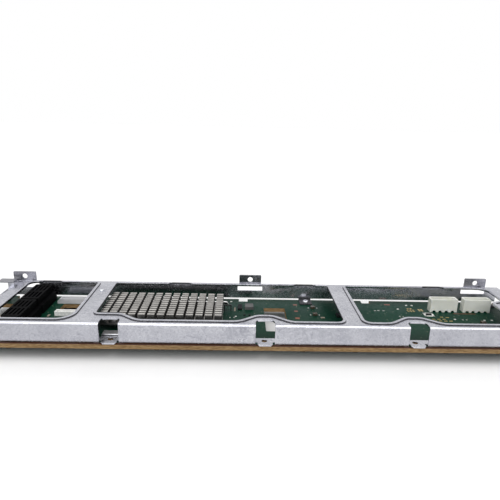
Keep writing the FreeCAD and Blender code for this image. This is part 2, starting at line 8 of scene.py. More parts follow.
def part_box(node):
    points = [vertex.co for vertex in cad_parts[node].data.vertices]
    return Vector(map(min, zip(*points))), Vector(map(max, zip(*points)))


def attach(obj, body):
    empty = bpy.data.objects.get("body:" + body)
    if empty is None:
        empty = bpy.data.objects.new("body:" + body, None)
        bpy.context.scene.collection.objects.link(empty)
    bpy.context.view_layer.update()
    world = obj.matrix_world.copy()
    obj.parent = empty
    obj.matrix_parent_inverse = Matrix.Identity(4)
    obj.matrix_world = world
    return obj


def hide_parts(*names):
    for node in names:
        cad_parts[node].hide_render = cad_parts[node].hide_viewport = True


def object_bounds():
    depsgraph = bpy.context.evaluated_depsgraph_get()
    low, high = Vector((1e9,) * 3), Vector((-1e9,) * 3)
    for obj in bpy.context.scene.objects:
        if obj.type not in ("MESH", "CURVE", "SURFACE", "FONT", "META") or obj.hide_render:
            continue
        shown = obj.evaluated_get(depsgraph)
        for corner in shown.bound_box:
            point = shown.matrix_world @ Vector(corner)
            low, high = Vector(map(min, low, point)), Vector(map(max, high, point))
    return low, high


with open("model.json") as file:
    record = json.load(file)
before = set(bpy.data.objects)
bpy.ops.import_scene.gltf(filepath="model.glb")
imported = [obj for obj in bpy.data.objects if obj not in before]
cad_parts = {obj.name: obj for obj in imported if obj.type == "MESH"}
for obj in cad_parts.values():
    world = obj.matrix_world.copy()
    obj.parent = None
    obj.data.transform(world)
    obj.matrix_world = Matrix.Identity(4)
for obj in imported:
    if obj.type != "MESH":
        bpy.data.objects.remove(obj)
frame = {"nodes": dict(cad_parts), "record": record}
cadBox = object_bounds()
scene = bpy.context.scene
mm = 0.001

boardLow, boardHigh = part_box("circuit_board")
wallInset = 2.2  # from the board's front edge to the front wall, in mm
boardTop = boardHigh.z
wallFront = boardLow.y + wallInset * mm


# A place in millimetres: along the board, behind the front wall, above the board
def at(x, y, z=0.0):
    return Vector((x * mm, wallFront + y * mm, boardTop + z * mm))


# Materials: small helpers for the node trees

def newLook(name, rough=0.5, metal=0.0, **values):
    material = bpy.data.materials.new(name)
    material.use_nodes = True
    tree = material.node_tree
    shader = tree.nodes["Principled BSDF"]
    shader.inputs["Roughness"].default_value = rough
    shader.inputs["Metallic"].default_value = metal
    for key, value in values.items():
        shader.inputs[key.replace("_", " ")].default_value = value
    coords = tree.nodes.new("ShaderNodeTexCoord").outputs["Object"]
    return material, tree, shader, coords


def addNode(tree, kind, inputs=None, **settings):
    node = tree.nodes.new("ShaderNode" + kind)
    for key, value in settings.items():
        setattr(node, key, value)
    for key, value in (inputs or {}).items():
        if isinstance(value, bpy.types.NodeSocket):
            tree.links.new(value, node.inputs[key])
        else:
            node.inputs[key].default_value = value
    return node


def stretched(tree, coords, scale):
    return addNode(tree, "Mapping", {"Vector": coords, "Scale": scale}).outputs["Vector"]


def noise(tree, coords, scale, detail=3.0, output="Fac"):
    return addNode(tree, "TexNoise", {"Vector": coords, "Scale": scale, "Detail": detail}).outputs[output]


def cells(tree, coords, scale, output):
    return addNode(tree, "TexVoronoi", {"Vector": coords, "Scale": scale}).outputs[output]


def grey(tree, colour):
    return addNode(tree, "RGBToBW", {"Color": colour}).outputs["Val"]


def ramp(tree, fac, *stops):
    node = addNode(tree, "ValToRGB", {"Fac": fac})
    for element, (place, colour) in zip(node.color_ramp.elements, stops):
        element.position = place
        element.color = (*colour, 1)
    return node.outputs["Color"]


def mixed(tree, fac, first, second):
    node = addNode(tree, "Mix", data_type="RGBA")
    for index, value in ((0, fac), (6, first), (7, second)):  # the colour sockets of a Mix node are 6 and 7
        if isinstance(value, bpy.types.NodeSocket):
            tree.links.new(value, node.inputs[index])
        else:
            node.inputs[index].default_value = (*value, 1)
    return node.outputs[2]


def ranged(tree, value, low, high, fromLow=0.0, fromHigh=1.0):
    return addNode(tree, "MapRange", {"Value": value, "From Min": fromLow, "From Max": fromHigh,
                                      "To Min": low, "To Max": high}).outputs["Result"]


def maths(tree, operation, first, second=0.0):
    return addNode(tree, "Math", {0: first, 1: second}, operation=operation).outputs["Value"]


def upwardness(tree):
    return addNode(tree, "SeparateXYZ", {0: addNode(tree, "NewGeometry").outputs["Normal"]}).outputs["Z"]


def bump(tree, shader, height, distance, strength):
    node = addNode(tree, "Bump", {"Height": height, "Distance": distance, "Strength": strength})
    tree.links.new(node.outputs["Normal"], shader.inputs["Normal"])


def paint(tree, shader, colour, rough=None):
    tree.links.new(colour, shader.inputs["Base Color"])
    if rough is not None:
        tree.links.new(rough, shader.inputs["Roughness"])


# Galvanised sheet: upright spangle streaks over larger clouds
zincSettings = {"dark": (0.36, 0.365, 0.42), "light": (0.68, 0.685, 0.735), "darkAt": 0.25, "lightAt": 0.8,
                "rough": (0.15, 0.3), "streak": (520, 300, 130), "streakShare": 0.6, "cloud": 55,
                "cloudShare": 0.55, "patch": 300.0, "grain": 260.0, "grainShift": 0.004,
                "pits": 1500.0, "relief": 0.00002, "strength": 0.6}


def zincLook(name, settings):
    material, tree, shader, coords = newLook(name, metal=1.0)
    patch = noise(tree, coords, settings["patch"], 2.0, "Color")
    grain = noise(tree, coords, settings["grain"], 2.0, "Color")
    shift = addNode(tree, "VectorMath", {0: grain, "Scale": settings["grainShift"]}, operation="SCALE")
    warped = addNode(tree, "VectorMath", {0: coords, 1: patch, 2: shift.outputs["Vector"]},
                     operation="MULTIPLY_ADD").outputs["Vector"]
    spangle = grey(tree, cells(tree, stretched(tree, warped, settings["streak"]), 1.0, "Color"))
    cloud = noise(tree, coords, settings["cloud"], 5.0)
    both = maths(tree, "ADD", maths(tree, "MULTIPLY", spangle, settings["streakShare"]),
                 maths(tree, "MULTIPLY", cloud, settings["cloudShare"]))
    shade = ramp(tree, both, (settings["darkAt"], settings["dark"]), (settings["lightAt"], settings["light"]))
    paint(tree, shader, shade, ranged(tree, spangle, *settings["rough"]))
    pits = maths(tree, "ADD", spangle, noise(tree, coords, settings["pits"]))
    bump(tree, shader, pits, settings["relief"], settings["strength"])
    return material


# Painted shade: a dark metal for the narrow shaded foot of the pressed lip, the cut edge of the sheet, the cut ends
# at the step-backs and the back feet, which are dark only from shade and dark reflections
paintedShadeSettings = {"dark": (0.035, 0.035, 0.04), "light": (0.1, 0.1, 0.11), "grain": 700.0, "rough": 0.6, "metal": 0.6}


def paintedShadeLook(name, settings):
    material, tree, shader, coords = newLook(name, rough=settings["rough"], metal=settings["metal"])
    grain = noise(tree, coords, settings["grain"])
    paint(tree, shader, ramp(tree, grain, (0.3, settings["dark"]), (0.8, settings["light"])))
    return material


# Plain plated metals: brushed along one direction
platedSettings = {"blotch": 220.0, "smoother": 0.08, "duller": 0.1, "relief": 0.00001, "strength": 0.5}


def platedLook(name, dark, light, rough, brush=(60, 60, 900)):
    s = platedSettings
    material, tree, shader, coords = newLook(name, metal=1.0)
    lines = noise(tree, stretched(tree, coords, brush), 1.0, 4.0)
    blotch = noise(tree, coords, s["blotch"])
    paint(tree, shader, ramp(tree, blotch, (0.3, dark), (0.7, light)),
          ranged(tree, lines, rough - s["smoother"], rough + s["duller"]))
    bump(tree, shader, lines, s["relief"], s["strength"])
    return material


# Heatsink: bright sawn pin tops over dark sides; the dark sides are painted shade of the narrow gaps between the pins
sinkSettings = {"topDark": (0.42, 0.405, 0.385), "topLight": (0.62, 0.6, 0.57), "side": (0.17, 0.165, 0.16),
                "sideUntil": 0.55, "topFrom": 0.85, "blotch": 190.0, "saw": (900, 140, 60), "rough": 0.36,
                "smoother": 0.08, "duller": 0.12, "relief": 0.00002, "strength": 0.6}


def sinkLook(name):
    s = sinkSettings
    material, tree, shader, coords = newLook(name, metal=1.0)
    saw = noise(tree, stretched(tree, coords, s["saw"]), 1.0)
    top = ramp(tree, noise(tree, coords, s["blotch"]), (0.3, s["topDark"]), (0.7, s["topLight"]))
    # Painted shade: faces that do not look up take the dark side colour
    onTop = ranged(tree, upwardness(tree), 0.0, 1.0, s["sideUntil"], s["topFrom"])
    paint(tree, shader, mixed(tree, onTop, s["side"], top),
          ranged(tree, saw, s["rough"] - s["smoother"], s["rough"] + s["duller"]))
    bump(tree, shader, saw, s["relief"], s["strength"])
    return material


# Moulded plastics: fine grain and slight colour drift
mouldedSettings = {"drift": 90.0, "smoother": 0.07, "duller": 0.09, "strength": 0.7}


def mouldedLook(name, dark, light, rough, grain=1800.0, relief=0.00002, **values):
    s = mouldedSettings
    material, tree, shader, coords = newLook(name, **values)
    drift = noise(tree, coords, s["drift"], 4.0)
    fine = noise(tree, coords, grain, 2.0)
    paint(tree, shader, ramp(tree, drift, (0.25, dark), (0.75, light)),
          ranged(tree, fine, rough - s["smoother"], rough + s["duller"]))
    bump(tree, shader, fine, relief, s["strength"])
    return material


# Board: green mask over copper lines and vias on the faces, layered tan laminate on the edges
boardSettings = {"maskDark": (0.0015, 0.017, 0.010), "maskLight": (0.003, 0.034, 0.019), "maskDrift": 14.0,
                 "trace": (0.008, 0.065, 0.036), "traceShare": 0.55, "traceScales": ((150.0, 0.0), (230.0, 90.0)),
                 "patch": 60.0, "via": (0.22, 0.24, 0.17), "viaScale": 330.0, "viaSize": 0.14,
                 "viaPatch": 170.0, "viaRare": 0.55, "tanDark": (0.17, 0.1, 0.045), "tanLight": (0.45, 0.31, 0.16),
                 "layers": 420.0, "layerShare": 0.35, "fibre": (300, 300, 1400), "bareAndShadeMargin": (0.05, 0.016, 0.007),
                 "bareAndShadeReach": 0.6, "shine": 400.0, "roughEdge": 0.75, "roughFace": 0.3,
                 "relief": 0.00004, "strength": 0.6}


def boardTraces(tree, coords, scale, turn):
    turned = addNode(tree, "Mapping", {"Vector": coords, "Rotation": (0, 0, math.radians(turn))})
    return addNode(tree, "TexBrick", {"Vector": turned.outputs["Vector"], "Scale": scale, "Mortar Size": 0.05,
                                      "Mortar Smooth": 0.1, "Brick Width": 2.7, "Row Height": 0.22},
                   offset=0.37).outputs["Fac"]


def boardLook(name):
    s = boardSettings
    material, tree, shader, coords = newLook(name, Specular_IOR_Level=0.22, IOR=1.25)
    mask = ramp(tree, noise(tree, coords, s["maskDrift"], 4.0), (0.3, s["maskDark"]), (0.7, s["maskLight"]))
    lengthwise, crosswise = [boardTraces(tree, coords, scale, turn) for scale, turn in s["traceScales"]]
    patch = grey(tree, ramp(tree, noise(tree, coords, s["patch"], 1.0), (0.48, (0, 0, 0)), (0.52, (1, 1, 1))))
    copper = maths(tree, "MAXIMUM", maths(tree, "MULTIPLY", lengthwise, patch),
                   maths(tree, "MULTIPLY", crosswise, maths(tree, "SUBTRACT", 1.0, patch)))
    via = maths(tree, "LESS_THAN", cells(tree, coords, s["viaScale"], "Distance"), s["viaSize"])
    here = maths(tree, "GREATER_THAN", noise(tree, coords, s["viaPatch"], 0.0), s["viaRare"])
    vias = maths(tree, "MULTIPLY", via, here)
    face = mixed(tree, maths(tree, "MULTIPLY", copper, s["traceShare"]), mask, s["trace"])
    face = mixed(tree, vias, face, s["via"])
    layers = addNode(tree, "TexWave", {"Vector": coords, "Scale": s["layers"], "Distortion": 1.5, "Detail": 2.0},
                     bands_direction="Z").outputs["Fac"]
    fibres = noise(tree, stretched(tree, coords, s["fibre"]), 1.0)
    edge = mixed(tree, maths(tree, "MULTIPLY", layers, s["layerShare"]),
                 ramp(tree, fibres, (0.3, s["tanDark"]), (0.75, s["tanLight"])), s["tanDark"])
    # Bare laminate margin along the front edge, painted much darker than the laminate as shade under the front wall
    behind = addNode(tree, "SeparateXYZ", {0: coords}).outputs["Y"]
    bareAndShadeMargin = maths(tree, "LESS_THAN", behind, wallFront + s["bareAndShadeReach"] * mm)
    face = mixed(tree, bareAndShadeMargin, face, s["bareAndShadeMargin"])
    isFace = maths(tree, "GREATER_THAN", maths(tree, "ABSOLUTE", upwardness(tree)), 0.5)
    shine = maths(tree, "MULTIPLY", isFace, noise(tree, coords, s["shine"]))
    paint(tree, shader, mixed(tree, isFace, edge, face),
          ranged(tree, shine, s["roughEdge"], s["roughFace"], 0.0, 0.5))
    bump(tree, shader, maths(tree, "SUBTRACT", copper, vias), s["relief"], s["strength"])
    return material


looks = {
    "zinc_steel": zincLook("zincSheet", zincSettings),
    "stud_steel": platedLook("studSteel", (0.62, 0.64, 0.68), (0.78, 0.8, 0.84), rough=0.22),
    "screw_steel": platedLook("screwSteel", (0.45, 0.45, 0.46), (0.66, 0.66, 0.68), rough=0.3),
    "clip_steel": platedLook("springWire", (0.6, 0.6, 0.6), (0.8, 0.8, 0.8), rough=0.25, brush=(900, 900, 60)),
    "can_steel": platedLook("canSteel", (0.5, 0.5, 0.51), (0.66, 0.66, 0.68), rough=0.32),
    "pin_tin": platedLook("tinPlate", (0.5, 0.49, 0.46), (0.7, 0.69, 0.65), rough=0.3),
    "contact_gold": platedLook("goldPlate", (0.62, 0.4, 0.12), (0.85, 0.62, 0.25), rough=0.28),
    "heatsink_alloy": sinkLook("sinkAlloy"),
    "anchor_black": mouldedLook("anchorOxide", (0.012, 0.012, 0.013), (0.03, 0.03, 0.03), rough=0.4),
    "blade_grey": mouldedLook("bladeGrey", (0.003, 0.003, 0.003), (0.008, 0.008, 0.009), rough=0.5, IOR=1.12),
    "board_green": boardLook("boardLaminate"),
    "capacitor_tan": mouldedLook("capacitorTan", (0.03, 0.022, 0.014), (0.075, 0.055, 0.032), rough=0.22),
    "chip_black": mouldedLook("chipMould", (0.006, 0.006, 0.007), (0.016, 0.016, 0.018), rough=0.5,
                              grain=2600.0, IOR=1.2),
    "coil_grey": mouldedLook("coilFerrite", (0.05, 0.05, 0.052), (0.12, 0.12, 0.12), rough=0.5),
    "connector_black": mouldedLook("connectorBlack", (0.0018, 0.0018, 0.002), (0.005, 0.005, 0.0056), rough=0.5,
                                   IOR=1.08),
    "header_cream": mouldedLook("headerNylon", (0.8, 0.81, 0.74), (0.92, 0.93, 0.87), rough=0.42,
                                grain=700.0, relief=0.00004,
                                Subsurface_Weight=0.25, Subsurface_Radius=(0.003, 0.003, 0.0024)),
    "header_grey": mouldedLook("headerGrey", (0.5, 0.5, 0.52), (0.68, 0.68, 0.7), rough=0.5, grain=420.0),
    "header_white": mouldedLook("headerWhite", (0.84, 0.84, 0.82), (0.94, 0.94, 0.92), rough=0.4),
    "lamp_white": mouldedLook("lampResin", (0.75, 0.76, 0.7), (0.9, 0.9, 0.86), rough=0.2),
    "pad_grey": mouldedLook("padGrey", (0.3, 0.32, 0.35), (0.42, 0.44, 0.47), rough=0.8),
    "resistor_ceramic": mouldedLook("resistorCeramic", (0.16, 0.13, 0.1), (0.32, 0.28, 0.22), rough=0.5),
    "socket_black": mouldedLook("socketBlack", (0.004, 0.004, 0.0045), (0.011, 0.011, 0.012), rough=0.5, IOR=1.15),
}
# Painted shade: the dark metal laid on faces that are dark only from shade
paintedShadeMetal = paintedShadeLook("paintedShadeZinc", paintedShadeSettings)
# Painted shade: a darker copy of the zinc for the ears, whose dark look comes from shade and dark reflections
earPaintedShadeZinc = zincLook("zincEarPaintedShade", {**zincSettings, "dark": (0.2, 0.2, 0.225), "light": (0.36, 0.36, 0.39)})
printWhite = mouldedLook("printWhite", (0.7, 0.7, 0.66), (0.85, 0.85, 0.82), rough=0.5)
copperRed = mouldedLook("maskRed", (0.13, 0.035, 0.012), (0.22, 0.06, 0.02), rough=0.4)
print("materials made:", len({*looks.values(), paintedShadeMetal, earPaintedShadeZinc, printWhite, copperRed}))

slotOf = {entry["node"]: entry["material_slot"] for entry in frame["record"]["subparts"]}
for nodeName, node in frame["nodes"].items():
    node.data.materials.clear()
    node.data.materials.append(looks[slotOf[nodeName]])


# Mesh work: select by place, finish with a baked modifier

def onlySelect(obj):
    bpy.ops.object.select_all(action="DESELECT")
    obj.select_set(True)
    bpy.context.view_layer.objects.active = obj


# Goes into edit mode with just the wanted faces or edges selected
def editSome(obj, kind, wanted):
    onlySelect(obj)
    bpy.ops.object.mode_set(mode="EDIT")
    bpy.ops.mesh.select_mode(type=kind)
    bpy.ops.mesh.select_all(action="DESELECT")
    endEdit()
    if kind == "FACE":
        for face in obj.data.polygons:
            face.select = wanted(face)
    else:
        for edge in obj.data.edges:
            edge.select = wanted(*[obj.data.vertices[index].co for index in edge.vertices])
    bpy.ops.object.mode_set(mode="EDIT")


def endEdit():
    bpy.ops.object.mode_set(mode="OBJECT")


def roundEdges(obj, width, segments, sharp):
    edge = obj.modifiers.new("roundedEdges", "BEVEL")
    edge.width = width * mm
    edge.segments = segments
    edge.limit_method = "ANGLE"
    edge.angle_limit = math.radians(sharp)
    bpy.ops.object.modifier_apply(modifier=edge.name)
    bpy.ops.object.shade_smooth_by_angle(angle=math.radians(sharp))


def soften(obj, width, segments):
    onlySelect(obj)
    roundEdges(obj, width, segments, sharp=40)


# A copy of a CAD node with its triangles merged and its edges rounded
copyWork = {"merge": 0.000002, "flatAngle": 0.5, "sharp": 35, "segments": 2}


def softened(nodeName, width):
    source = frame["nodes"][nodeName]
    copy = source.copy()
    copy.data = source.data.copy()
    for key in [key for key in copy.keys() if key.startswith("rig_")]:
        del copy[key]
    copy.parent = None
    scene.collection.objects.link(copy)
    copy.name = nodeName + "_soft"
    copy.data.name = copy.name
    onlySelect(copy)
    bpy.ops.object.mode_set(mode="EDIT")
    bpy.ops.mesh.select_mode(type="EDGE")
    bpy.ops.mesh.select_all(action="SELECT")
    bpy.ops.mesh.customdata_custom_splitnormals_clear()
    bpy.ops.mesh.remove_doubles(threshold=copyWork["merge"])
    bpy.ops.mesh.dissolve_limited(angle_limit=math.radians(copyWork["flatAngle"]))
    bpy.ops.mesh.normals_make_consistent(inside=False)
    endEdit()
    roundEdges(copy, width, copyWork["segments"], copyWork["sharp"])
    flat = copy.modifiers.new("flatFaces", "WEIGHTED_NORMAL")
    flat.keep_sharp = True
    bpy.ops.object.modifier_apply(modifier=flat.name)
    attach(copy, "root")
    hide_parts(nodeName)


def pickVertex(obj, spot):
    bpy.ops.mesh.select_all(action="DESELECT")
    endEdit()
    nearest = min(obj.data.vertices, key=lambda vertex: (vertex.co - spot).length)
    nearest.select = True
    bpy.ops.object.mode_set(mode="EDIT")


# Follow corners (u, v, radius) by extruding one vertex, close the outline and round its corners
def traceOutline(corners, place):
    arcSegments = 5  # for each radian of turn
    bpy.ops.object.select_all(action="DESELECT")
    bpy.ops.mesh.primitive_plane_add(size=mm, location=(0, 0, 0))
    traced = bpy.context.object
    bpy.ops.object.mode_set(mode="EDIT")
    bpy.ops.mesh.select_mode(type="VERT")
    bpy.ops.mesh.select_all(action="SELECT")
    bpy.ops.mesh.merge(type="CENTER")
    spots = [place(u, v) for u, v, _ in corners]
    bpy.ops.transform.translate(value=spots[0])
    for before, after in zip(spots, spots[1:]):
        bpy.ops.mesh.extrude_vertices_move(TRANSFORM_OT_translate={"value": after - before})
    bpy.ops.mesh.select_all(action="SELECT")
    bpy.ops.mesh.edge_face_add()
    for index, (_, _, radius) in enumerate(corners):
        if radius:
            back = (spots[index - 1] - spots[index]).normalized()
            ahead = (spots[(index + 1) % len(spots)] - spots[index]).normalized()
            half = back.angle(ahead) / 2
            pickVertex(traced, spots[index])
            bpy.ops.mesh.bevel(offset=radius * mm / math.tan(half), affect="VERTICES",
                               segments=max(2, round((math.pi - 2 * half) * arcSegments)))
    bpy.ops.mesh.select_all(action="SELECT")
    return traced


def thicken(traced, way):
    bpy.ops.mesh.extrude_region_move(TRANSFORM_OT_translate={"value": way})
    bpy.ops.mesh.select_all(action="SELECT")
    bpy.ops.mesh.normals_make_consistent(inside=False)
    endEdit()
    return traced


# The same corners moved outward by a distance: outer corners get rounder, inner ones tighter
def widened(corners, spread):
    spots = [Vector(corner[:2]) for corner in corners]
    moved = []
    for index, spot in enumerate(spots):
        inward = (spot - spots[index - 1]).normalized()
        onward = (spots[(index + 1) % len(spots)] - spot).normalized()
        turn = inward.x * onward.y - inward.y * onward.x
        normals = [Vector((way.y, -way.x)) for way in (inward, onward)]
        shift = (normals[0] + normals[1]) * spread / (1 + normals[0].dot(normals[1]))
        radius = corners[index][2] + (spread if turn > 0 else -spread)
        moved.append((spot.x + shift.x, spot.y + shift.y, max(radius, 0)))
    return moved


# An outline seen from above, raised from one height to another; with a ring, only its border
def flatShape(corners, low, high, ring=0.0):
    traced = traceOutline(corners, lambda u, v: at(u, v, low))
    if ring:
        bpy.ops.mesh.select_mode(type="FACE")
        bpy.ops.mesh.select_all(action="SELECT")
        bpy.ops.mesh.inset(thickness=ring * mm, depth=0)
        bpy.ops.mesh.delete(type="FACE")
        bpy.ops.mesh.select_all(action="SELECT")
    return thicken(traced, (0, 0, (high - low) * mm))


# An outline seen from the end, drawn out along the board
def crossShape(corners, left, right):
    return thicken(traceOutline(corners, lambda u, v: at(left, u, v)), ((right - left) * mm, 0, 0))


# A block, with the upright edges behind a given line rounded
def brick(x0, x1, y0, y1, z0, z1, uprightRound=0.0, roundBehind=-math.inf):
    bpy.ops.object.select_all(action="DESELECT")
    low, high = at(x0, y0, z0), at(x1, y1, z1)
    bpy.ops.mesh.primitive_cube_add(size=1, location=(low + high) / 2, scale=high - low)
    made = bpy.context.object
    bpy.ops.object.transform_apply(location=True, rotation=True, scale=True)
    if uprightRound:
        line = at(0, roundBehind).y
        editSome(made, "EDGE", lambda first, second: abs(first.z - second.z) > mm / 2 and first.y > line)
        bpy.ops.mesh.bevel(offset=uprightRound * mm, segments=6)
        endEdit()
    return made


def drill(diameter, place, turn=(0, 0, 0)):
    bpy.ops.object.select_all(action="DESELECT")
    bpy.ops.mesh.primitive_cylinder_add(vertices=32, radius=diameter / 2 * mm, depth=8 * mm,
                                        location=place, rotation=turn)
    return bpy.context.object


def cut(obj, cutters):
    for cutter in cutters:
        onlySelect(obj)
        knife = obj.modifiers.new("cut", "BOOLEAN")
        knife.operation = "DIFFERENCE"
        knife.object = cutter
        bpy.ops.object.modifier_apply(modifier=knife.name)
    for cutter in cutters:
        bpy.data.objects.remove(cutter)
    return obj


def joined(objects, name):
    onlySelect(objects[0])
    for obj in objects:
        obj.select_set(True)
    bpy.ops.object.join()
    made = bpy.context.object
    made.name = name
    made.data.name = name
    return made


# Frame: a folded channel with traced windows, raised lips, notches, feet, ears and the left flange
sheet = {"thick": 1.2, "bend": 1.6, "left": -192.4, "right": 211.0, "depth": 82.5, "top": 14.9,
         "frontGap": 0.5, "backGap": 1.8, "endDrop": 6.0, "endInset": 0.01, "edge": 0.08}
window = {"frontRim": 6.2, "notchRim": 16.2, "backRim": 77.1, "flat": 11.6, "run": 13.0, "swell": 9.0,
          "small": 2.5, "wide": 5.0, "sweep": 11.0, "lip": 2.3, "rise": 0.8, "lipEdge": 0.25, "overlap": 0.02,
          "left": (-183.7, -128.0), "middle": (-112.7, 63.3), "right": (78.4, 188.2), "cut": (12, 18),
          "bulge": 10.5, "bulgeStart": 46.0, "bulgeRun": 4.5, "bulgeCorner": 3.5, "bulgeBack": 9.0}
notch = {"places": (-100.1, 7.7, 115.2), "width": 13.5, "front": -3, "reach": 8.6, "cut": (-1, 18),
         "corner": 3.2, "roundBehind": 2}
stepBack = {"places": (-167.5, -60.0, 44.2, 153.7), "width": 13.6, "slant": 2.5, "front": 70, "bite": 0.25,
            "cut": (13.2, 18)}
foot = {"holes": (-99.9, 7.3, 114.2), "holeY": 3.9, "hole": 4.0, "wing": 3.5, "reach": 8.0,
        "tongue": 10.6, "front": 2.2, "relief": 2.4, "corner": 1.2, "inset": 0.1}
backFoot = {"places": (-129.5, 45.6, 201.0), "width": 10.2, "toe": 71.5, "leg": 3.0}
ear = {"places": (-189.5, -1.5, 190.5), "width": 18.4, "height": 8.0, "y": 79.7, "corner": 0.8,
       "hole": 4.3, "holeUp": 4.1, "root": 0.5, "sunk": 0.02, "gap": 21.0, "gapDrop": 6.5, "gapBack": 2, "gapRise": 1}
flange = {"drop": 2.2, "width": 6.0, "front": 3.0, "hookY": 68.0, "hookUp": 5.6, "reach": 7.8, "lip": 7.0}


def windowCorners():
    front, rim, back = window["frontRim"], window["notchRim"], window["backRim"]
    small, wide, swell = window["small"], window["wide"], window["swell"]
    half, whole = window["flat"] / 2, window["flat"] / 2 + window["run"]
    swells = [[(x - whole, front, swell), (x - half, rim, swell), (x + half, rim, swell), (x + whole, front, swell)]
              for x in notch["places"]]
    left, right = window["left"]
    yield [(left, front, small), (right, front, window["sweep"]), (right, back, small), (left, back, wide)]
    left, right = window["middle"]
    yield ([(left, rim, small)] + swells[0][2:] + swells[1]
           + [(right, front, wide), (right, back, small), (left, back, small)])
    left, right = window["right"]
    bulgeRight, bulgeStart, corner = right + window["bulge"], window["bulgeStart"], window["bulgeCorner"]
    yield [(left, front, wide)] + swells[2] + [
        (right, front, wide), (right, bulgeStart, corner), (bulgeRight, bulgeStart + window["bulgeRun"], corner),
        (bulgeRight, back, window["bulgeBack"]), (left, back, small)]


def stepCutters():
    half, full = stepBack["width"] / 2, stepBack["width"] / 2 + stepBack["slant"]
    front, rim, back = stepBack["front"], window["backRim"], sheet["depth"] - sheet["thick"] + stepBack["bite"]
    return [flatShape([(x - full, rim, 0), (x - full, front, 0), (x + full, front, 0), (x + full, rim, 0),
                       (x + half, back, 0), (x - half, back, 0)], *stepBack["cut"]) for x in stepBack["places"]]


def makeLips():
    top, lip = sheet["top"], window["lip"]
    lips = [flatShape(widened(corners, lip), top - sheet["thick"], top + window["rise"], ring=lip)
            for corners in windowCorners()]
    lips = cut(joined(lips, "frameLips"), stepCutters())
    soften(lips, window["lipEdge"], 2)
    return lips


def makeChannel():
    thick, depth, top, bend = sheet["thick"], sheet["depth"], sheet["top"], sheet["bend"]
    profile = [(0, sheet["frontGap"], 0), (0, top, bend), (depth, top, bend), (depth, sheet["backGap"], 0),
               (depth - thick, sheet["backGap"], 0), (depth - thick, top - thick, 0),
               (thick, top - thick, 0), (thick, sheet["frontGap"], 0)]
    channel = crossShape(profile, sheet["left"], sheet["right"])
    cutters = [flatShape(widened(corners, window["lip"] - window["overlap"]), *window["cut"])
               for corners in windowCorners()]
    half = notch["width"] / 2
    cutters += [brick(x - half, x + half, notch["front"], notch["reach"], *notch["cut"], notch["corner"],
                      notch["roundBehind"]) for x in notch["places"]]
    half, low = ear["gap"] / 2, top - ear["gapDrop"]
    cutters += [brick(x - half, x + half, ear["y"], depth + ear["gapBack"], low, top + ear["gapRise"])
                for x in ear["places"]]
    cutters += stepCutters()
    return cut(channel, cutters)


def makeFoot(x, holeX):
    half, tongue, wing = notch["width"] / 2, foot["tongue"] / 2, notch["width"] / 2 + foot["wing"]
    relief, corner, front = foot["relief"], foot["corner"], -foot["front"]
    right = [(tongue - corner, front, 0), (tongue, front + corner, 0), (tongue, relief, 0), (half, relief, 0),
             (half, foot["inset"], 0), (wing, foot["inset"], 0), (wing, foot["reach"], 0)]
    corners = [(x + u, v, r) for u, v, r in right] + [(x - u, v, r) for u, v, r in reversed(right)]
    plate = flatShape(corners, 0, sheet["thick"])
    return cut(plate, [drill(foot["hole"], at(holeX, foot["holeY"]))])


def makeEar(x):
    thick, top, y, half = sheet["thick"], sheet["top"], ear["y"], ear["width"] / 2
    profile = [(y - ear["root"], top - thick, 0), (y + thick, top - thick, sheet["bend"]),
               (y + thick, top + ear["height"], 0), (y, top + ear["height"], 0), (y, top - ear["sunk"], 0),
               (y - ear["root"], top - ear["sunk"], 0)]
    plate = crossShape(profile, x - half, x + half)
    tip = at(0, 0, top + ear["height"]).z - mm / 10
    editSome(plate, "EDGE",
             lambda first, second: min(first.z, second.z) > tip and abs(first.y - second.y) > mm / 2)
    bpy.ops.mesh.bevel(offset=ear["corner"] * mm, segments=3)
    endEdit()
    return cut(plate, [drill(ear["hole"], at(x, y, top + ear["holeUp"]), (math.pi / 2, 0, 0))])


def makeBackFoot(x):
    thick, half, leg = sheet["thick"], backFoot["width"] / 2, backFoot["leg"]
    back = sheet["depth"] - foot["inset"]
    profile = [(back, leg, 0), (back, 0, sheet["bend"]), (backFoot["toe"], 0, 0), (backFoot["toe"], thick, 0),
               (back - thick, thick, 0), (back - thick, leg, 0)]
    return crossShape(profile, x - half, x + half)


# Left flange with its hook, the back wall's left end, and the folded right end
def makeFlange():
    thick, top, left, depth = sheet["thick"], sheet["top"], sheet["left"], sheet["depth"]
    low, outer, hook = top - flange["drop"], left - flange["width"], flange["hookY"]
    lipTop, inner, front = low + flange["hookUp"], left - thick, flange["front"]
    return [brick(inner, left, front, depth - thick, low - thick, top),
            brick(outer, inner, front, depth, low - thick, low),
            brick(outer, inner, hook + thick, depth, top - thick, top),
            brick(outer, inner, hook, hook + thick, low, lipTop - thick),
            brick(outer - flange["reach"], inner, hook, hook + flange["lip"], lipTop - thick, lipTop),
            brick(outer, left, depth - thick, depth, sheet["backGap"], top - thick),
            brick(sheet["right"] - thick, sheet["right"] - sheet["endInset"], sheet["bend"], depth - thick,
                  top - sheet["endDrop"], top - thick)]


frameParts = [makeChannel()]
frameParts += [makeFoot(x, holeX) for x, holeX in zip(notch["places"], foot["holes"])]
frameParts += [makeEar(x) for x in ear["places"]]
frameParts += [makeBackFoot(x) for x in backFoot["places"]]
frameParts += makeFlange()
frameSheet = joined(frameParts, "frameSheet")
soften(frameSheet, sheet["edge"], 1)
frameLips = makeLips()
for piece in (frameSheet, frameLips):
    piece.data.materials.clear()
    piece.data.materials.append(looks["zinc_steel"])
    piece.data.materials.append(paintedShadeMetal)
    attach(piece, "root")
    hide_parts("bracket_frame")
frameSheet.data.materials.append(earPaintedShadeZinc)
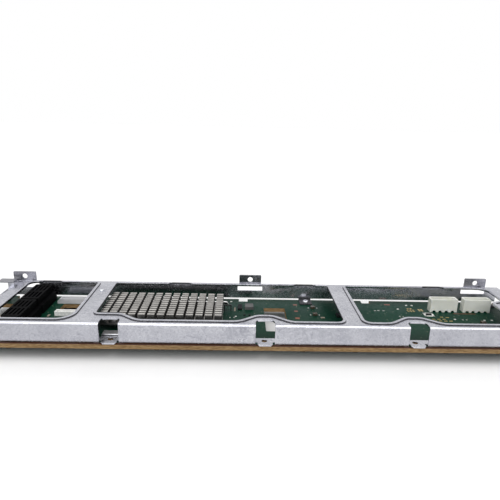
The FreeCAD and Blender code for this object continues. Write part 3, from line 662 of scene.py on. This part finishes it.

# Painted shade: darker faces on the ears, the cut ends at the step-backs, the back feet, and the outer foot of each
# lip, which are dark from shade and dark reflections
shaded = {"stepSpread": 1, "stepFrom": 13, "wallBefore": 1, "wallBehind": 0.5, "footSpread": 0.2,
          "footBefore": 0.5, "footUntil": 3.5, "earFrom": 0.3,
          "lipMiddles": (-155.9, -24.7, 135.0), "lipMiddleY": 50, "lipAside": 0.3, "lipLevel": 0.6}
for face in frameSheet.data.polygons:
    x, y, z = face.center.x / mm, (face.center.y - wallFront) / mm, (face.center.z - boardTop) / mm
    wall = sheet["depth"] - sheet["thick"]
    atStep = any(abs(x - place) < stepBack["width"] / 2 + shaded["stepSpread"] for place in stepBack["places"])
    atFoot = any(abs(x - place) < backFoot["width"] / 2 + shaded["footSpread"] for place in backFoot["places"])
    inWall = wall - shaded["wallBefore"] < y < wall + shaded["wallBehind"]
    if atStep and inWall and z > shaded["stepFrom"]:
        face.material_index = 1
    if atFoot and y > backFoot["toe"] - shaded["footBefore"] and z < shaded["footUntil"]:
        face.material_index = 1
    if z > sheet["top"] + shaded["earFrom"]:
        face.material_index = 2
# Painted shade: the outward faces of each lip take the dark metal
for face in frameLips.data.polygons:
    side, spot = face.normal, face.center
    middle = min(shaded["lipMiddles"], key=lambda x: abs(x * mm - spot.x))
    outward = spot - at(middle, shaded["lipMiddleY"])
    facing = side.y * outward.y if abs(side.y) > shaded["lipAside"] else side.x * outward.x
    if abs(side.z) < shaded["lipLevel"] and facing > 0:
        face.material_index = 1
print("frame made:", len(frameSheet.data.polygons), "faces,", len(frameLips.data.polygons), "in the lips")

# Heatsink: one tapered pin, repeated over the base plate
sink = {"left": -112.8, "front": 21.2, "bottom": 3.0, "base": 2.2, "top": 12.3, "columns": 13, "rows": 11,
        "pitch": (6.98, 3.98), "foot": (5.9, 2.75), "tip": (5.2, 2.35), "end": (6.1, 2.6), "edge": 0.18,
        "sunk": 0.01, "baseCorner": 0.4, "baseEdge": 0.15}


def repeated(obj, count, step):
    onlySelect(obj)
    repeat = obj.modifiers.new("repeat", "ARRAY")
    repeat.count = count
    repeat.use_relative_offset = False
    repeat.use_constant_offset = True
    repeat.constant_offset_displace = [value * mm for value in step]
    bpy.ops.object.modifier_apply(modifier=repeat.name)


def makeHeatsink():
    (footX, footY), (tipX, tipY), (endX, endY) = sink["foot"], sink["tip"], sink["end"]
    (pitchX, pitchY), left, front, bottom = sink["pitch"], sink["left"], sink["front"], sink["bottom"]
    midX, midY = left + endX / 2, front + endY / 2
    pin = brick(midX - footX / 2, midX + footX / 2, midY - footY / 2, midY + footY / 2,
                bottom + sink["base"] - sink["sunk"], sink["top"])
    editSome(pin, "FACE", lambda face: face.normal.z > 0.9)
    bpy.ops.transform.resize(value=(tipX / footX, tipY / footY, 1))
    endEdit()
    soften(pin, sink["edge"], 2)
    repeated(pin, sink["columns"], (pitchX, 0, 0))
    repeated(pin, sink["rows"], (0, pitchY, 0))
    right, back = left + (sink["columns"] - 1) * pitchX + endX, front + (sink["rows"] - 1) * pitchY + endY
    base = brick(left, right, front, back, bottom, bottom + sink["base"], sink["baseCorner"])
    soften(base, sink["baseEdge"], 2)
    return joined([pin, base], "heatsinkPins")


heatsinkPins = makeHeatsink()
heatsinkPins.data.materials.clear()
heatsinkPins.data.materials.append(looks["heatsink_alloy"])
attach(heatsinkPins, "root")
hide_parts("heatsink")
print("heatsink made:", len(heatsinkPins.data.polygons), "faces")

# Moulded and turned pieces that keep their CAD shape and get rounded edges, in mm
softEdges = {"cable_connector_front": 0.15, "cable_connector_rear": 0.15, "power_header_left": 0.25,
             "power_header_right": 0.25, "white_header": 0.12, "grey_header": 0.15, "web_stud": 0.1}
for nodeName, width in softEdges.items():
    softened(nodeName, width)
print("softened pieces ready")


# Small features of the board: bare pads, printed marks, solder ends, each group one piece.
# A spot is its middle, its width and its depth
def spotsOf(wide, deep, places):
    return [(x, y, wide, deep) for x, y in places]


details = {
    "goldPads": {"slot": "contact_gold", "look": looks["contact_gold"], "height": 0.05, "corner": 0.25, "spots": (
        spotsOf(1.5, 1.1, (
            (129.3, 61.2), (131.6, 61.2), (133.9, 61.2), (129.3, 64.0), (131.6, 64.0), (133.9, 64.0),
            (130.4, 66.8), (132.8, 66.8), (139.0, 63.0), (141.2, 63.0), (139.0, 65.4), (141.2, 65.4)))
        + spotsOf(2.6, 0.9, (
            (144.5, 43.6), (148.7, 43.6), (152.9, 43.6), (157.0, 43.6), (144.5, 46.8), (148.7, 46.8),
            (152.9, 46.8), (152.6, 51.0), (157.0, 50.4))))},
    "rustPads": {"slot": "contact_gold", "look": copperRed, "height": 0.05, "corner": 0.3, "spots": [
        (36.4, 71.5, 3.2, 2.4), (35.8, 58.5, 2.8, 2.4), (35.5, 45.0, 3.4, 3.0), (115.3, 74.8, 5.0, 2.2),
        (174.2, 58.0, 18.5, 0.9)]},
    "printMarks": {"slot": "lamp_white", "look": printWhite, "height": 0.03, "corner": 0.2, "spots": [
        (101.6, 62.0, 1.6, 0.7), (104.4, 62.4, 1.8, 0.7), (108.6, 62.0, 1.6, 0.7), (140.6, 55.6, 1.6, 6.4),
        (147.0, 55.6, 1.6, 6.4), (143.8, 52.9, 8.0, 1.6), (143.8, 58.3, 8.0, 1.6)]},
    "darkDots": {"slot": "chip_black", "look": looks["chip_black"], "height": 0.5, "corner": 0.5, "spots": [
        (-6.2, 49.2, 1.7, 1.7), (-2.2, 49.4, 1.7, 1.7), (143.8, 55.6, 4.2, 3.4)]},
    "solderEnds": {"slot": "pin_tin", "look": looks["pin_tin"], "height": 0.3, "corner": 0.2,
                   "spots": spotsOf(0.9, 1.3, (
                       (-29.6, 58.0), (-26.0, 66.4), (-17.6, 44.2), (-14.4, 44.2), (-19.8, 71.2), (46.8, 65.1),
                       (53.8, 65.1), (46.7, 51.2), (53.7, 51.2), (92.4, 38.6), (95.6, 38.6), (167.6, 46.0),
                       (170.6, 46.0), (-146.0, 31.0), (-142.6, 31.0), (118.6, 50.8), (121.4, 50.8)))},
}
detailSunk = 0.02  # into the board, in mm
cornerShare = 0.4  # a corner takes at most this share of a side

for groupName, detail in details.items():
    pads = [brick(x - wide / 2, x + wide / 2, y - deep / 2, y + deep / 2, -detailSunk, detail["height"],
                  min(detail["corner"], wide * cornerShare, deep * cornerShare))
            for x, y, wide, deep in detail["spots"]]
    group = joined(pads, groupName)
    group.data.materials.clear()
    group.data.materials.append(detail["look"])
    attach(group, "root")
print("board details made:", len(details))


# Floor, lights and world: white paper that glows for the camera only, and only away from the object; the real shadow
# stays, and around the object the floor is left darker as a painted shadow that fades out over a few centimetres
studio = {"floorSize": 8, "floorDrop": 0.00005, "paper": ((0.85, 0.85, 0.85), (0.87, 0.87, 0.87)),
          "paperGrain": 30.0, "paperRough": 0.9, "glow": 0.3, "glowStart": 0.002, "glowReach": 0.05,
          "sunPower": 2.95, "sunSpread": 102, "sunTilt": (26, -5), "skyFill": 0.12, "glossSky": 0.84}
white = (1, 1, 1, 1)

bpy.ops.object.select_all(action="DESELECT")
bpy.ops.mesh.primitive_plane_add(size=studio["floorSize"], location=(0, 0, -studio["floorDrop"]))
floor = bpy.context.object
floor.name = "floor"
floorMaterial, tree, shader, coords = newLook("floorPaper", rough=studio["paperRough"])
paperDark, paperLight = studio["paper"]
paint(tree, shader, ramp(tree, noise(tree, coords, studio["paperGrain"]), (0.3, paperDark), (0.7, paperLight)))
# Painted shadow: the glow grows from nothing at the object's box to full strength further out
spread = addNode(tree, "VectorMath", {0: coords}, operation="ABSOLUTE")
beyond = addNode(tree, "VectorMath", {0: spread.outputs[0], 1: (cadBox[1][0], cadBox[1][1], 0.0)},
                 operation="SUBTRACT")
outside = addNode(tree, "VectorMath", {0: beyond.outputs[0], 1: (0, 0, 0)}, operation="MAXIMUM")
away = addNode(tree, "VectorMath", {0: outside.outputs[0]}, operation="LENGTH").outputs["Value"]
strength = ranged(tree, away, 0.0, studio["glow"], studio["glowStart"], studio["glowReach"])
glow = addNode(tree, "Emission", {"Color": white, "Strength": strength})
glowing = addNode(tree, "AddShader", {0: shader.outputs["BSDF"], 1: glow.outputs["Emission"]})
chosen = addNode(tree, "MixShader", {0: addNode(tree, "LightPath").outputs["Is Camera Ray"],
                                     1: shader.outputs["BSDF"], 2: glowing.outputs["Shader"]})
tree.links.new(chosen.outputs["Shader"], tree.nodes["Material Output"].inputs["Surface"])
floor.data.materials.append(floorMaterial)

bpy.ops.object.light_add(type="SUN", location=(0, 0, 1))
sun = bpy.context.object
sun.name = "overhead"
sun.data.energy = studio["sunPower"]
sun.data.angle = math.radians(studio["sunSpread"])
sun.rotation_euler = [math.radians(angle) for angle in (*studio["sunTilt"], 0)]

# The sky is weak as fill light, brighter in reflections, and white behind the object
world = bpy.data.worlds.new("studio")
scene.world = world
world.use_nodes = True
tree = world.node_tree
rays = addNode(tree, "LightPath")
fill = tree.nodes["Background"]
fill.inputs["Color"].default_value = white
fill.inputs["Strength"].default_value = studio["skyFill"]
shown = addNode(tree, "Background", {"Color": white, "Strength": 1.0})
mirrored = addNode(tree, "Background", {"Color": white, "Strength": studio["glossSky"]})
shinyRay = maths(tree, "MAXIMUM", rays.outputs["Is Glossy Ray"], rays.outputs["Is Transmission Ray"])
glossy = addNode(tree, "MixShader", {0: shinyRay, 1: fill.outputs["Background"],
                                     2: mirrored.outputs["Background"]})
seen = addNode(tree, "MixShader", {0: rays.outputs["Is Camera Ray"], 1: glossy.outputs["Shader"],
                                   2: shown.outputs["Background"]})
tree.links.new(seen.outputs["Shader"], tree.nodes["World Output"].inputs["Surface"])
scene.view_settings.view_transform = "Standard"
print("studio ready")

# Camera: low and close, a little left of the middle
view = {"place": (-12.217, -337.323, 168.986), "turnLeft": -1.501, "down": 16.584, "roll": 1.440, "lens": 34.2,
        "sensor": 36, "nearest": 0.005}
bpy.ops.object.camera_add(location=[value * mm for value in view["place"]])
camera = bpy.context.object
camera.rotation_euler = (Matrix.Rotation(math.radians(view["turnLeft"]), 3, "Z")
                         @ Matrix.Rotation(math.radians(90 - view["down"]), 3, "X")
                         @ Matrix.Rotation(math.radians(view["roll"]), 3, "Z")).to_euler()
camera.data.lens = view["lens"]
camera.data.sensor_width = view["sensor"]
camera.data.clip_start = view["nearest"]
scene.camera = camera
